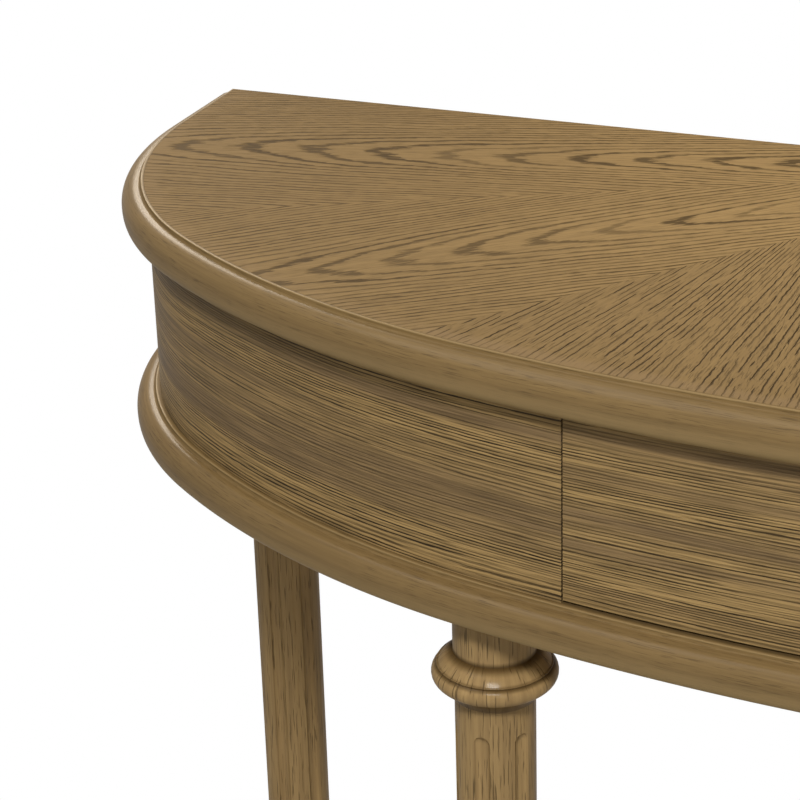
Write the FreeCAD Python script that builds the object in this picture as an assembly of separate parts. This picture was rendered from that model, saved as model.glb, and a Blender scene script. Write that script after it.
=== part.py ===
import FreeCAD, Part
import math
import os

# Demilune table: a D-shaped top on a bent apron with a flush drawer, on turned and fluted legs.
# Millimetres. X runs along the back, -Y is the front, Z is up from the floor.
# The model is drawn with the back edge on Y = 0 and moved to the middle of its depth when saved.

V = FreeCAD.Vector
UP = V(0, 0, 1)
DOWN = V(0, 0, -1)

# Plan of the case, measured on the apron's outer face
TABLE_HEIGHT = 787.0
CASE_WIDTH = 1186.4
CASE_DEPTH = 414.7
END_STRAIGHT = 78.4
CORNER_TURN = math.radians(52.6)
SHOULDER_TURN = math.radians(78.0)
FRONT_TO_SHOULDER = 2.267

# Bent mouldings round the top and round the base
MOULDING_HEIGHT = 27.5
LIP_PROJECTION = 3.4
LIP_STEP = 2.1
LEDGE_WIDTH = 3.1
NOSE_DROP = 4.1
TOP_BORDER = 2.0
BASE_RING_WIDTH = 22.0

# Boards of the top and the case
VENEER = 0.8
VENEER_SEAMS = (math.radians(25.6), math.radians(52.3))
APRON_HEIGHT = 119.5
APRON_THICKNESS = 18.0
BACK_THICKNESS = 18.0
BOTTOM_THICKNESS = 18.0
DIVIDER_THICKNESS = 18.0
GLUE_LINE = 0.1
BLOCK_SIDE = 30.0
BLOCK_HEIGHT = 50.0
CLEAT_SIDE = 22.0
CLEAT_LENGTH = 60.0
CLEAT_SETBACK = 90.0
CLEAT_SPACING = 130.0

# Legs
LEG_BESIDE_DRAWER = 55.0
FRONT_LEG_INSET = 27.7
BACK_LEG_INSET = 40.5
NECK_RADIUS = 25.2
NECK_LENGTH = 32.9
UPPER_BEAD_RADIUS = 31.4
UPPER_BEAD_HEIGHT = 9.0
UPPER_BEAD_CROWN = 0.5
REED_HEIGHT = 1.2
REED_ROUND = 0.5
GROOVE_RADIUS = 34.7
LOWER_BEAD_RADIUS = 37.8
LOWER_BEAD_HEIGHT = 12.3
LOWER_BEAD_CROWN = 0.28
COVE_TOP_RADIUS = 32.6
COVE_FOOT_RADIUS = 26.0
COVE_HEIGHT = 8.6
COVE_HOLLOW = 1.2
SHAFT_RADIUS = 24.5
FLUTES = 6
FLUTE_DEPTH = 3.0
FLUTE_CUTTER = 6.5
FLUTE_BELOW_COLLAR = 18.5
FLUTE_ABOVE_FLOOR = 70.0
TOE_HEIGHT = 10.0
TOE_RADIUS = 20.0

# Leg fixings
PAD_LENGTH = 110.0
PAD_WIDTH = 90.0
BOLT_RADIUS = 4.0
BOLT_IN_LEG = 60.0
BOLT_ABOVE_NUT = 3.0
HOLE_CLEARANCE = 0.4
THREAD_CLEARANCE = 0.1
WASHER_RADIUS = 8.5
WASHER_THICKNESS = 1.6
NUT_ACROSS_FLATS = 13.0
NUT_HEIGHT = 6.5
GLIDE_RADIUS = 14.0
GLIDE_HEIGHT = 3.0
GLIDE_PIN_RADIUS = 2.0
GLIDE_PIN_LENGTH = 14.0

# Drawer
DRAWER_OPENING = 412.6
DRAWER_SIDE_GAP = 1.0
DRAWER_TOP_GAP = 1.5
DRAWER_BOTTOM_GAP = 2.0
FRONT_EDGE_THICKNESS = 18.0
DIVIDER_SETBACK = 0.7
LATCH_SPACE = 60.0
BOX_HEIGHT = 90.0
BOX_LIFT = 12.0
BOX_WALL = 12.0
FLOOR_THICKNESS = 5.0
FLOOR_LIFT = 8.0
GROOVE_DEPTH = 5.0
FLOOR_END_PLAY = 0.3

# Telescopic runners
RUNNER_THICKNESS = 12.7
RUNNER_HEIGHT = 45.0
RUNNER_SETBACK = 8.0
RUNNER_SHORT_OF_BOX = 12.0
RUNNER_STEEL = 1.2
RUNNER_FLANGE = 10.5
RUNNER_WEB_GAP = 2.0
RUNNER_END_GAP = 1.1
BALL_RADIUS = 1.5
BALL_CLEARANCE = 0.15
BALL_PITCH = 16.0
BALLS = 8
CAGE_STEEL = 0.8
CAGE_WIDTH = 4.0

# Push latch
LATCH_SIDE = 16.0
PLUNGER_RADIUS = 3.0
PLUNGER_CLEARANCE = 0.3
PLUNGER_REACH = 9.0
PLUNGER_LENGTH = 40.0
PLUNGER_PLAY = 6.0
STRIKE_SIDE = 20.0
STRIKE_THICKNESS = 1.5
STRIKE_GAP = 0.3

# Screws
SCREW_RADIUS = 1.8
SCREW_HEAD_RADIUS = 3.4
SCREW_HEAD_HEIGHT = 1.4
SCREW_CLEARANCE = 0.1
RUNNER_SCREW_LENGTH = 10.0
FRONT_SCREW_LENGTH = 25.0
TOP_SCREW_LENGTH = 40.0
SCREW_FROM_END = 40.0

# Levels above the floor
TOP_UNDERSIDE = TABLE_HEIGHT - MOULDING_HEIGHT
BASE_TOP = TOP_UNDERSIDE - APRON_HEIGHT
LEG_TOP = BASE_TOP - MOULDING_HEIGHT
BOTTOM_UNDERSIDE = BASE_TOP - BOTTOM_THICKNESS
BOX_FLOOR = BASE_TOP + BOX_LIFT
RUNNER_LEVEL = BOX_FLOOR + BOX_HEIGHT / 2

HALF_WIDTH = CASE_WIDTH / 2
NOSE_RADIUS = (MOULDING_HEIGHT - NOSE_DROP) / 2
MOULDING_PROJECTION = LIP_PROJECTION + LEDGE_WIDTH + NOSE_RADIUS
FRONT_LEG_X = DRAWER_OPENING / 2 + LEG_BESIDE_DRAWER
OVERALL_DEPTH = CASE_DEPTH + MOULDING_PROJECTION


# Plan outline: a straight end, then corner, shoulder and front arcs that run into each other

def closing_radii():
    """Corner and shoulder radii that bring the half outline to its width and depth."""
    corner_x = 1 - math.cos(CORNER_TURN)
    corner_y = math.sin(CORNER_TURN)
    rest_x = math.cos(CORNER_TURN) + (FRONT_TO_SHOULDER - 1) * math.cos(SHOULDER_TURN)
    rest_y = math.sin(SHOULDER_TURN) - corner_y + FRONT_TO_SHOULDER * (1 - math.sin(SHOULDER_TURN))
    depth = CASE_DEPTH - END_STRAIGHT
    scale = corner_x * rest_y - rest_x * corner_y
    corner = (HALF_WIDTH * rest_y - rest_x * depth) / scale
    shoulder = (corner_x * depth - corner_y * HALF_WIDTH) / scale
    return corner, shoulder


def toward(turn):
    """Outward direction on the left half after the outline has turned so far from the end."""
    return V(-math.cos(turn), -math.sin(turn), 0)


CORNER_RADIUS, SHOULDER_RADIUS = closing_radii()
FRONT_RADIUS = SHOULDER_RADIUS * FRONT_TO_SHOULDER
CORNER_CENTRE = V(CORNER_RADIUS - HALF_WIDTH, -END_STRAIGHT, 0)
SHOULDER_CENTRE = CORNER_CENTRE + toward(CORNER_TURN) * (CORNER_RADIUS - SHOULDER_RADIUS)
FRONT_CENTRE = V(0, FRONT_RADIUS - CASE_DEPTH, 0)

# Each arc of the left half and of the front: centre, radius, turn at its start and at its end
CORNER_ARC = (CORNER_CENTRE, CORNER_RADIUS, 0.0, CORNER_TURN)
SHOULDER_ARC = (SHOULDER_CENTRE, SHOULDER_RADIUS, CORNER_TURN, SHOULDER_TURN)
FRONT_ARC = (FRONT_CENTRE, FRONT_RADIUS, SHOULDER_TURN, math.pi - SHOULDER_TURN)


def mirrored(shape):
    """The same piece on the right-hand side."""
    return shape.mirror(V(0, 0, 0), V(1, 0, 0))


def arc_edge(arc, offset):
    centre, radius, start, end = arc
    points = [centre + toward(turn) * (radius + offset) for turn in (start, (start + end) / 2, end)]
    return Part.Arc(*points).toShape()


def plan_face(offset):
    """The D-shaped plan, moved outwards from the apron's face by offset."""
    end = HALF_WIDTH + offset
    straight = Part.makeLine(V(-end, 0, 0), V(-end, -END_STRAIGHT, 0))
    left = [straight, arc_edge(CORNER_ARC, offset), arc_edge(SHOULDER_ARC, offset)]
    right = [mirrored(edge) for edge in left]
    back = Part.makeLine(V(end, 0, 0), V(-end, 0, 0))
    edges = left + [arc_edge(FRONT_ARC, offset)] + right + [back]
    return Part.Face(Part.Wire(Part.__sortEdges__(edges)))


def board(offset, low, high):
    """A D-shaped board between two levels."""
    face = plan_face(offset)
    face.translate(UP * low)
    return face.extrude(UP * (high - low))


def front_y(x, offset):
    """Y of the plan's front at a distance x from the middle, on the front or shoulder arc."""
    for centre, radius, start, _ in (FRONT_ARC, SHOULDER_ARC):
        if x <= -(centre + toward(start) * (radius + offset)).x:
            break
    return centre.y - math.sqrt((radius + offset) ** 2 - (x + centre.x) ** 2)


# Simple solids

def block(x0, x1, y0, y1, z0, z1):
    return Part.makeBox(x1 - x0, y1 - y0, z1 - z0, V(x0, y0, z0))


def rod(radius, start, direction, length):
    return Part.makeCylinder(radius, length, start, direction)


def pan_screw(head_face, direction, length):
    """A pan-head screw whose head sits on head_face and whose shank runs in direction."""
    head = rod(SCREW_HEAD_RADIUS, head_face - direction * SCREW_HEAD_HEIGHT, direction, SCREW_HEAD_HEIGHT)
    return head.fuse(rod(SCREW_RADIUS, head_face, direction, length)).removeSplitter()


def pilot(head_face, direction, length):
    """The hole that a screw's shank fills."""
    return rod(SCREW_RADIUS + SCREW_CLEARANCE, head_face, direction, length + SCREW_CLEARANCE)


def save(node, *solids):
    shape = solids[0] if len(solids) == 1 else Part.makeCompound(solids)
    shape.translated(V(0, OVERALL_DEPTH / 2, 0)).exportStep(f"parts/{node}.step")


def drilled(piece, holes):
    return piece.cut(Part.makeCompound(holes))


# Bent mouldings

def moulding_face(inner, top, place):
    """Section of a moulding: lip, ledge and bull nose, with place giving a point from its offset."""
    foot = top - MOULDING_HEIGHT
    ledge = LIP_PROJECTION + LEDGE_WIDTH
    nose_start = place(ledge, top - NOSE_DROP)
    nose_end = place(ledge, foot)
    before = [place(inner, foot), place(inner, top), place(LIP_PROJECTION, top),
              place(LIP_PROJECTION, top - LIP_STEP), place(ledge, top - LIP_STEP), nose_start]
    edges = [Part.makeLine(a, b) for a, b in zip(before, before[1:])]
    edges.append(Part.Arc(nose_start, place(MOULDING_PROJECTION, foot + NOSE_RADIUS), nose_end).toShape())
    edges.append(Part.makeLine(nose_end, before[0]))
    return Part.Face(Part.Wire(edges))


def moulding(inner, top):
    """A moulding that follows the plan from one back end to the other."""
    def bend(arc):
        centre, radius, start, end = arc
        face = moulding_face(inner, top, lambda u, z: centre + toward(start) * (radius + u) + UP * z)
        return face.revolve(centre, UP, math.degrees(end - start))
    end_face = moulding_face(inner, top, lambda u, z: V(-HALF_WIDTH - u, 0, z))
    left = [end_face.extrude(V(0, -END_STRAIGHT, 0)), bend(CORNER_ARC), bend(SHOULDER_ARC)]
    rest = left[1:] + [bend(FRONT_ARC)] + [mirrored(piece) for piece in left]
    return left[0].multiFuse(rest).removeSplitter().Solids[0]


# Top

def make_top():
    border = LIP_PROJECTION - TOP_BORDER
    save("top_moulding", moulding(border, TABLE_HEIGHT))
    core = board(border - GLUE_LINE, TOP_UNDERSIDE, TABLE_HEIGHT - VENEER)
    save("top_core", drilled(core, [pilot(*screw) for screw in top_screws()]))
    skin = board(border - GLUE_LINE, TABLE_HEIGHT - VENEER, TABLE_HEIGHT)
    seams = (0.0, *VENEER_SEAMS)
    far = CASE_WIDTH + CASE_DEPTH
    def leaf(start, end):
        corners = [V(0, 0, 0), toward(start) * far, toward(end) * far, V(0, 0, 0)]
        wedge = Part.Face(Part.makePolygon(corners)).extrude(UP * TABLE_HEIGHT)
        return skin.common(wedge).Solids[0]
    for name, start, end in zip(("outer", "inner"), seams, seams[1:]):
        piece = leaf(start, end)
        save(f"veneer_{name}_left", piece)
        save(f"veneer_{name}_right", mirrored(piece))
    save("veneer_middle", leaf(seams[-1], math.pi - seams[-1]))


def cleat_places():
    """Top cleats against the outer face of the left divider: Y of each one's back end."""
    return [-BACK_THICKNESS - CLEAT_SETBACK, -BACK_THICKNESS - CLEAT_SETBACK - CLEAT_SPACING]


def left_top_screws():
    """Screws that go up into the core: one in each cleat and one in the corner block."""
    face = TOP_UNDERSIDE - CLEAT_SIDE
    x = -DRAWER_OPENING / 2 - DIVIDER_SETBACK - DIVIDER_THICKNESS - CLEAT_SIDE / 2
    screws = [(V(x, y - CLEAT_LENGTH / 2, face), UP, TOP_SCREW_LENGTH) for y in cleat_places()]
    corner = V(APRON_THICKNESS - HALF_WIDTH + BLOCK_SIDE / 2, -BACK_THICKNESS - BLOCK_SIDE / 2,
               TOP_UNDERSIDE - BLOCK_HEIGHT)
    return screws + [(corner, UP, TOP_SCREW_LENGTH + BLOCK_HEIGHT - CLEAT_SIDE)]


def top_screws():
    left = left_top_screws()
    return left + [(V(-point.x, point.y, point.z), axis, length) for point, axis, length in left]


# Case

def make_case():
    save("base_moulding", moulding(-BASE_RING_WIDTH, BASE_TOP))
    holes = [rod(BOLT_RADIUS + HOLE_CLEARANCE, V(x, y, LEG_TOP), UP, MOULDING_HEIGHT) for x, y in leg_places().values()]
    bottom = board(-BASE_RING_WIDTH - GLUE_LINE, BOTTOM_UNDERSIDE, BASE_TOP)
    save("bottom_panel", drilled(bottom, holes))
    band = board(0, BASE_TOP, TOP_UNDERSIDE).cut(board(-APRON_THICKNESS, BASE_TOP, TOP_UNDERSIDE))
    half = block(-CASE_WIDTH, -DRAWER_OPENING / 2, -CASE_WIDTH, 0, 0, TABLE_HEIGHT)
    apron = band.common(half).Solids[0]
    save("apron_left", apron)
    save("apron_right", mirrored(apron))
    inside = HALF_WIDTH - APRON_THICKNESS
    back = block(-inside, inside, -BACK_THICKNESS, 0, BASE_TOP, TOP_UNDERSIDE)
    save("back_panel", back)
    make_dividers()
    make_blocks(inside)


def runner_screws(web_face, direction):
    """Two screws along a runner, with their heads on a web."""
    ends = (runner_front() + SCREW_FROM_END, runner_front() + runner_length() - SCREW_FROM_END)
    return [(V(web_face, y, RUNNER_LEVEL), direction, RUNNER_SCREW_LENGTH) for y in ends]


def make_dividers():
    face = -DRAWER_OPENING / 2 - DIVIDER_SETBACK
    space = board(-APRON_THICKNESS - GLUE_LINE, BASE_TOP, TOP_UNDERSIDE)
    plank = block(face - DIVIDER_THICKNESS, face, -CASE_WIDTH, -BACK_THICKNESS, BASE_TOP, TOP_UNDERSIDE)
    screws = runner_screws(face + RUNNER_STEEL, V(-1, 0, 0))
    divider = drilled(plank.common(space), [pilot(*screw) for screw in screws]).Solids[0]
    save("divider_left", divider)
    save("divider_right", mirrored(divider))


def make_blocks(inside):
    """Corner blocks, top cleats and the screws that go up through them."""
    screws = left_top_screws()
    corner = block(-inside, -inside + BLOCK_SIDE, -BACK_THICKNESS - BLOCK_SIDE, -BACK_THICKNESS,
                   TOP_UNDERSIDE - BLOCK_HEIGHT, TOP_UNDERSIDE)
    corner = drilled(corner, [pilot(*screws[-1])])
    save("corner_blocks", corner, mirrored(corner))
    outer = -DRAWER_OPENING / 2 - DIVIDER_SETBACK - DIVIDER_THICKNESS
    cleats = []
    for y, screw in zip(cleat_places(), screws):
        cleat = block(outer - CLEAT_SIDE, outer, y - CLEAT_LENGTH, y, TOP_UNDERSIDE - CLEAT_SIDE, TOP_UNDERSIDE)
        cleat = drilled(cleat, [pilot(*screw)])
        cleats += [cleat, mirrored(cleat)]
    save("top_cleats", *cleats)
    save("top_screws", *[pan_screw(*screw) for screw in top_screws()])


# Legs

def leg_places():
    """Leg name to the place of its axis."""
    front = front_y(FRONT_LEG_X, -FRONT_LEG_INSET)
    end = HALF_WIDTH - BACK_LEG_INSET
    return {
        "front_left": (-FRONT_LEG_X, front),
        "front_right": (FRONT_LEG_X, front),
        "back_left": (-end, -BACK_LEG_INSET),
        "back_right": (end, -BACK_LEG_INSET),
    }


def turned_leg():
    """One leg on the Z axis, with its foot at the top of the glide and its neck at LEG_TOP."""
    crease = LEG_TOP - NECK_LENGTH
    groove = crease - UPPER_BEAD_HEIGHT
    cove = groove - LOWER_BEAD_HEIGHT
    collar = cove - COVE_HEIGHT
    def at(radius, level):
        return V(radius, 0, level)
    def line(*points):
        return [Part.makeLine(a, b) for a, b in zip(points, points[1:])]
    def arc(start, middle, end):
        return [Part.Arc(start, middle, end).toShape()]
    neck_foot = at(NECK_RADIUS, crease)
    reed_top = at(GROOVE_RADIUS - REED_ROUND, groove + REED_HEIGHT)
    reed_middle = at(GROOVE_RADIUS + REED_ROUND, groove + REED_HEIGHT / 2)
    groove_foot = at(GROOVE_RADIUS, groove)
    cove_top = at(COVE_TOP_RADIUS, cove)
    cove_foot = at(COVE_FOOT_RADIUS, collar)
    cove_middle = at((COVE_TOP_RADIUS + COVE_FOOT_RADIUS) / 2 - COVE_HOLLOW, (cove + collar) / 2)
    edges = line(at(0, GLIDE_HEIGHT), at(0, LEG_TOP), at(NECK_RADIUS, LEG_TOP), neck_foot)
    edges += arc(neck_foot, at(UPPER_BEAD_RADIUS, crease - UPPER_BEAD_HEIGHT * UPPER_BEAD_CROWN), reed_top)
    edges += arc(reed_top, reed_middle, groove_foot)
    edges += arc(groove_foot, at(LOWER_BEAD_RADIUS, groove - LOWER_BEAD_HEIGHT * LOWER_BEAD_CROWN), cove_top)
    edges += arc(cove_top, cove_middle, cove_foot)
    edges += line(cove_foot, at(SHAFT_RADIUS, collar), at(SHAFT_RADIUS, GLIDE_HEIGHT + TOE_HEIGHT),
                  at(TOE_RADIUS, GLIDE_HEIGHT), at(0, GLIDE_HEIGHT))
    leg = Part.Face(Part.Wire(edges)).revolve(V(0, 0, 0), UP, 360)
    return leg.cut(Part.makeCompound(flute_cutters(collar)))


def flute_cutters(collar):
    """Round-ended cutters, one of them facing the front."""
    reach = SHAFT_RADIUS - FLUTE_DEPTH + FLUTE_CUTTER
    grip = math.sqrt(FLUTE_CUTTER ** 2 - (FLUTE_CUTTER - FLUTE_DEPTH) ** 2)
    low = FLUTE_ABOVE_FLOOR + grip
    high = collar - FLUTE_BELOW_COLLAR - grip
    cutters = []
    for number in range(FLUTES):
        turn = math.radians(360.0 * number / FLUTES)
        axis = V(reach * math.sin(turn), -reach * math.cos(turn), 0)
        cutter = rod(FLUTE_CUTTER, axis + UP * low, UP, high - low)
        ends = [Part.makeSphere(FLUTE_CUTTER, axis + UP * level) for level in (low, high)]
        cutters.append(cutter.multiFuse(ends))
    return cutters


def hex_nut():
    corner = NUT_ACROSS_FLATS / math.sqrt(3)
    turns = [math.radians(60 * side) for side in range(7)]
    outline = Part.makePolygon([V(corner * math.cos(t), corner * math.sin(t), 0) for t in turns])
    nut = Part.Face(outline).extrude(UP * NUT_HEIGHT)
    return nut.cut(rod(BOLT_RADIUS + THREAD_CLEARANCE, V(0, 0, 0), UP, NUT_HEIGHT))


def make_legs():
    nut_seat = BASE_TOP + WASHER_THICKNESS
    bolt_length = BOLT_IN_LEG + nut_seat + NUT_HEIGHT + BOLT_ABOVE_NUT - LEG_TOP
    bore = rod(BOLT_RADIUS + THREAD_CLEARANCE, V(0, 0, LEG_TOP), DOWN, BOLT_IN_LEG + THREAD_CLEARANCE)
    socket = rod(GLIDE_PIN_RADIUS + THREAD_CLEARANCE, V(0, 0, GLIDE_HEIGHT), UP, GLIDE_PIN_LENGTH + THREAD_CLEARANCE)
    leg = turned_leg().cut(Part.makeCompound([bore, socket]))
    bolt = rod(BOLT_RADIUS, V(0, 0, LEG_TOP - BOLT_IN_LEG), UP, bolt_length)
    washer = rod(WASHER_RADIUS, V(0, 0, BASE_TOP), UP, WASHER_THICKNESS)
    washer = washer.cut(rod(BOLT_RADIUS + HOLE_CLEARANCE, V(0, 0, BASE_TOP), UP, WASHER_THICKNESS))
    nut = hex_nut()
    nut.translate(UP * nut_seat)
    glide = rod(GLIDE_RADIUS, V(0, 0, 0), UP, GLIDE_HEIGHT)
    glide = glide.fuse(rod(GLIDE_PIN_RADIUS, V(0, 0, GLIDE_HEIGHT), UP, GLIDE_PIN_LENGTH)).removeSplitter()
    places = {name: V(x, y, 0) for name, (x, y) in leg_places().items()}
    for name, place in places.items():
        save(f"leg_{name}", leg.translated(place))
        save(f"leg_pad_{name}", leg_pad(place))
    fixings = {"leg_bolts": bolt, "leg_washers": washer, "leg_nuts": nut, "foot_glides": glide}
    for node, piece in fixings.items():
        save(node, *[piece.translated(place) for place in places.values()])


def leg_pad(place):
    """A pad under the bottom panel that brings the leg's seat level with the base moulding."""
    pad = block(place.x - PAD_LENGTH / 2, place.x + PAD_LENGTH / 2, place.y - PAD_WIDTH / 2,
                place.y + PAD_WIDTH / 2, LEG_TOP, BOTTOM_UNDERSIDE)
    pad = pad.common(board(-BASE_RING_WIDTH - GLUE_LINE, LEG_TOP, BOTTOM_UNDERSIDE))
    hole = rod(BOLT_RADIUS + HOLE_CLEARANCE, place + UP * LEG_TOP, UP, MOULDING_HEIGHT)
    return pad.cut(hole).Solids[0]


# Drawer

def drawer_half():
    """Half the width of the drawer front."""
    return DRAWER_OPENING / 2 - DRAWER_SIDE_GAP


def front_back_face():
    """Y of the flat back of the drawer front."""
    return front_y(drawer_half(), 0) + FRONT_EDGE_THICKNESS


def runner_face():
    """X of the divider's face that carries the left runner."""
    return -DRAWER_OPENING / 2 - DIVIDER_SETBACK


def box_half():
    """Half the outer width of the drawer box, which fills the space between the runners."""
    return -runner_face() - RUNNER_THICKNESS


def runner_front():
    """Y of the runners' front end, behind the drawer front."""
    return front_back_face() + RUNNER_SETBACK


def box_rear():
    """Y of the back of the drawer box, which leaves room for the latch."""
    return -BACK_THICKNESS - LATCH_SPACE


def runner_length():
    return box_rear() - RUNNER_SHORT_OF_BOX - runner_front()


def front_screws():
    """Four screws from inside the box into the drawer front."""
    face = front_back_face() + BOX_WALL
    across = box_half() - BOX_WALL - SCREW_FROM_END
    levels = (BOX_FLOOR + BOX_HEIGHT / 2 - BOX_HEIGHT / 5, BOX_FLOOR + BOX_HEIGHT / 2 + BOX_HEIGHT / 3)
    return [(V(x, face, z), V(0, -1, 0), FRONT_SCREW_LENGTH) for x in (-across, across) for z in levels]


def make_drawer():
    seat = front_back_face()
    half = drawer_half()
    holes = [pilot(*screw) for screw in front_screws()]
    low = BASE_TOP + DRAWER_BOTTOM_GAP
    high = TOP_UNDERSIDE - DRAWER_TOP_GAP
    front = board(0, low, high).common(block(-half, half, -CASE_WIDTH, seat, low, high))
    save("drawer_front", drilled(front, holes).Solids[0])
    save("drawer_front_screws", *[pan_screw(*screw) for screw in front_screws()])
    make_box(seat, holes)


def make_box(seat, holes):
    outer = box_half()
    inner = outer - BOX_WALL
    rear = box_rear()
    top = BOX_FLOOR + BOX_HEIGHT
    floor_low = BOX_FLOOR + FLOOR_LIFT
    floor_high = floor_low + FLOOR_THICKNESS
    lap = GROOVE_DEPTH - FLOOR_END_PLAY
    groove = block(-inner - GROOVE_DEPTH, inner + GROOVE_DEPTH, seat + BOX_WALL - GROOVE_DEPTH,
                   rear - BOX_WALL + GROOVE_DEPTH, floor_low - GLUE_LINE, floor_high + GLUE_LINE)
    panel = block(-inner - lap, inner + lap, seat + BOX_WALL - lap, rear - BOX_WALL + lap, floor_low, floor_high)
    save("drawer_bottom", panel)
    box_front = block(-outer, outer, seat, seat + BOX_WALL, BOX_FLOOR, top)
    save("drawer_box_front", drilled(box_front, holes + [groove]))
    save("drawer_back", block(-inner, inner, rear - BOX_WALL, rear, BOX_FLOOR, top).cut(groove))
    side = block(-outer, -inner, seat + BOX_WALL, rear, BOX_FLOOR, top)
    screws = runner_screws(-outer - RUNNER_STEEL, V(1, 0, 0))
    side = drilled(side, [pilot(*screw) for screw in screws] + [groove])
    save("drawer_side_left", side)
    save("drawer_side_right", mirrored(side))
    make_runners(screws)
    make_latch(rear)


# Telescopic runners, drawn on the left and mirrored

def channel(half_height, web_from, web_to, flange_to):
    """A C-section along the runner: a web between two X values, with flanges out to a third."""
    front = runner_front()
    rear = front + runner_length()
    low = min(web_from, web_to, flange_to)
    high = max(web_from, web_to, flange_to)
    hollow_from = web_to if flange_to > web_to else low
    hollow_to = high if flange_to > web_to else web_from
    solid = block(low, high, front, rear, RUNNER_LEVEL - half_height, RUNNER_LEVEL + half_height)
    inside = half_height - RUNNER_STEEL
    return solid.cut(block(hollow_from, hollow_to, front, rear, RUNNER_LEVEL - inside, RUNNER_LEVEL + inside))


def ball_cages(x, inner_half):
    """Two cage strips with their balls, above and below a channel of the given outer half height."""
    middle = runner_front() + runner_length() / 2
    length = BALLS * BALL_PITCH
    cages = []
    for side in (-1, 1):
        level = RUNNER_LEVEL + side * (inner_half + BALL_RADIUS + BALL_CLEARANCE)
        strip = block(x - CAGE_WIDTH / 2, x + CAGE_WIDTH / 2, middle - length / 2, middle + length / 2,
                      level - CAGE_STEEL / 2, level + CAGE_STEEL / 2)
        first = middle - length / 2 + BALL_PITCH / 2
        balls = [Part.makeSphere(BALL_RADIUS, V(x, first + BALL_PITCH * n, level)) for n in range(BALLS)]
        cage = strip.multiFuse(balls)
        cages += [cage, mirrored(cage)]
    return cages


def make_runners(drawer_screws):
    face = runner_face()
    race = 2 * (BALL_RADIUS + BALL_CLEARANCE)
    cabinet_half = RUNNER_HEIGHT / 2
    middle_half = cabinet_half - RUNNER_STEEL - race
    drawer_half_height = middle_half - RUNNER_STEEL - race
    lip = face + RUNNER_FLANGE
    middle_web = face + RUNNER_STEEL + RUNNER_WEB_GAP
    drawer_face = face + RUNNER_THICKNESS
    drawer_lip = middle_web + RUNNER_STEEL + RUNNER_END_GAP
    cabinet_screws = runner_screws(face + RUNNER_STEEL, V(-1, 0, 0))
    cabinet = channel(cabinet_half, face, face + RUNNER_STEEL, lip)
    cabinet = drilled(cabinet, [pilot(*screw) for screw in cabinet_screws])
    middle = channel(middle_half, middle_web, middle_web + RUNNER_STEEL, lip)
    drawer = channel(drawer_half_height, drawer_face - RUNNER_STEEL, drawer_face, drawer_lip)
    drawer = drilled(drawer, [pilot(*screw) for screw in drawer_screws])
    for node, piece in (("runner_cabinet", cabinet), ("runner_middle", middle), ("runner_drawer", drawer)):
        save(f"{node}_left", piece)
        save(f"{node}_right", mirrored(piece))
    ball_x = (drawer_lip + lip) / 2
    save("outer_ball_cages", *ball_cages(ball_x, middle_half))
    save("inner_ball_cages", *ball_cages(ball_x, drawer_half_height))
    for node, screws in (("runner_cabinet_screws", cabinet_screws), ("runner_drawer_screws", drawer_screws)):
        left = [pan_screw(*screw) for screw in screws]
        save(node, *(left + [mirrored(screw) for screw in left]))


# Push latch between the back panel and the drawer's back

def make_latch(rear):
    half = LATCH_SIDE / 2
    tip = rear + STRIKE_THICKNESS + STRIKE_GAP
    mouth = tip + PLUNGER_REACH
    bore_end = tip + PLUNGER_LENGTH + PLUNGER_PLAY
    body = block(-half, half, mouth, -BACK_THICKNESS, RUNNER_LEVEL - half, RUNNER_LEVEL + half)
    bore = rod(PLUNGER_RADIUS + PLUNGER_CLEARANCE, V(0, mouth, RUNNER_LEVEL), V(0, 1, 0), bore_end - mouth)
    save("latch_body", body.cut(bore))
    save("latch_plunger", rod(PLUNGER_RADIUS, V(0, tip, RUNNER_LEVEL), V(0, 1, 0), PLUNGER_LENGTH))
    side = STRIKE_SIDE / 2
    save("strike_plate", block(-side, side, rear, rear + STRIKE_THICKNESS, RUNNER_LEVEL - side, RUNNER_LEVEL + side))


os.makedirs("parts", exist_ok=True)
make_top()
make_case()
make_legs()
make_drawer()
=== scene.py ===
import math
from collections import namedtuple
from itertools import accumulate

import bpy
from bpy.props import FloatProperty, FloatVectorProperty, PointerProperty
from mathutils import Matrix, Vector


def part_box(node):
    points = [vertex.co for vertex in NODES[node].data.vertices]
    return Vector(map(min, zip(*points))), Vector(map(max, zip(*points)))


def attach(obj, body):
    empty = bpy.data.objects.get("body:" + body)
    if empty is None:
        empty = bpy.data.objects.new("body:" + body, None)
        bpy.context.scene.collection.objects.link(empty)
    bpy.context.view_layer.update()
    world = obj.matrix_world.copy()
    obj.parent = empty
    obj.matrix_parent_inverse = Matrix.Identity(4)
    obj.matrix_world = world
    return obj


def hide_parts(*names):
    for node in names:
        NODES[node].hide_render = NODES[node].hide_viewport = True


bl_info = {
    "name": "Demilune Table",
    "version": (1, 0, 0),
    "blender": (4, 5, 0),
    "location": "View3D > Sidebar > Demilune",
    "description": "Dresses a half-round console table in brown-stained oak and sets up its studio",
    "category": "Object",
}

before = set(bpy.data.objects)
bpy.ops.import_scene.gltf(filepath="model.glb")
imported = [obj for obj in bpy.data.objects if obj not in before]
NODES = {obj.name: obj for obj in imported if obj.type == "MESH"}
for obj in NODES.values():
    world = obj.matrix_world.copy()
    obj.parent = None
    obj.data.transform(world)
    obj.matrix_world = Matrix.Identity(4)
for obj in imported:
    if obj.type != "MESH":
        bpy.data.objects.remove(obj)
bpy.context.view_layer.update()
TOP_LOW, TOP_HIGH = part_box("top_moulding")
BASE_LOW, BASE_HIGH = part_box("base_moulding")
FLIP = Vector((-1.0, 1.0, 1.0))
WHITE = (1.0, 1.0, 1.0)


# Sizes and colours that a user would change

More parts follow.
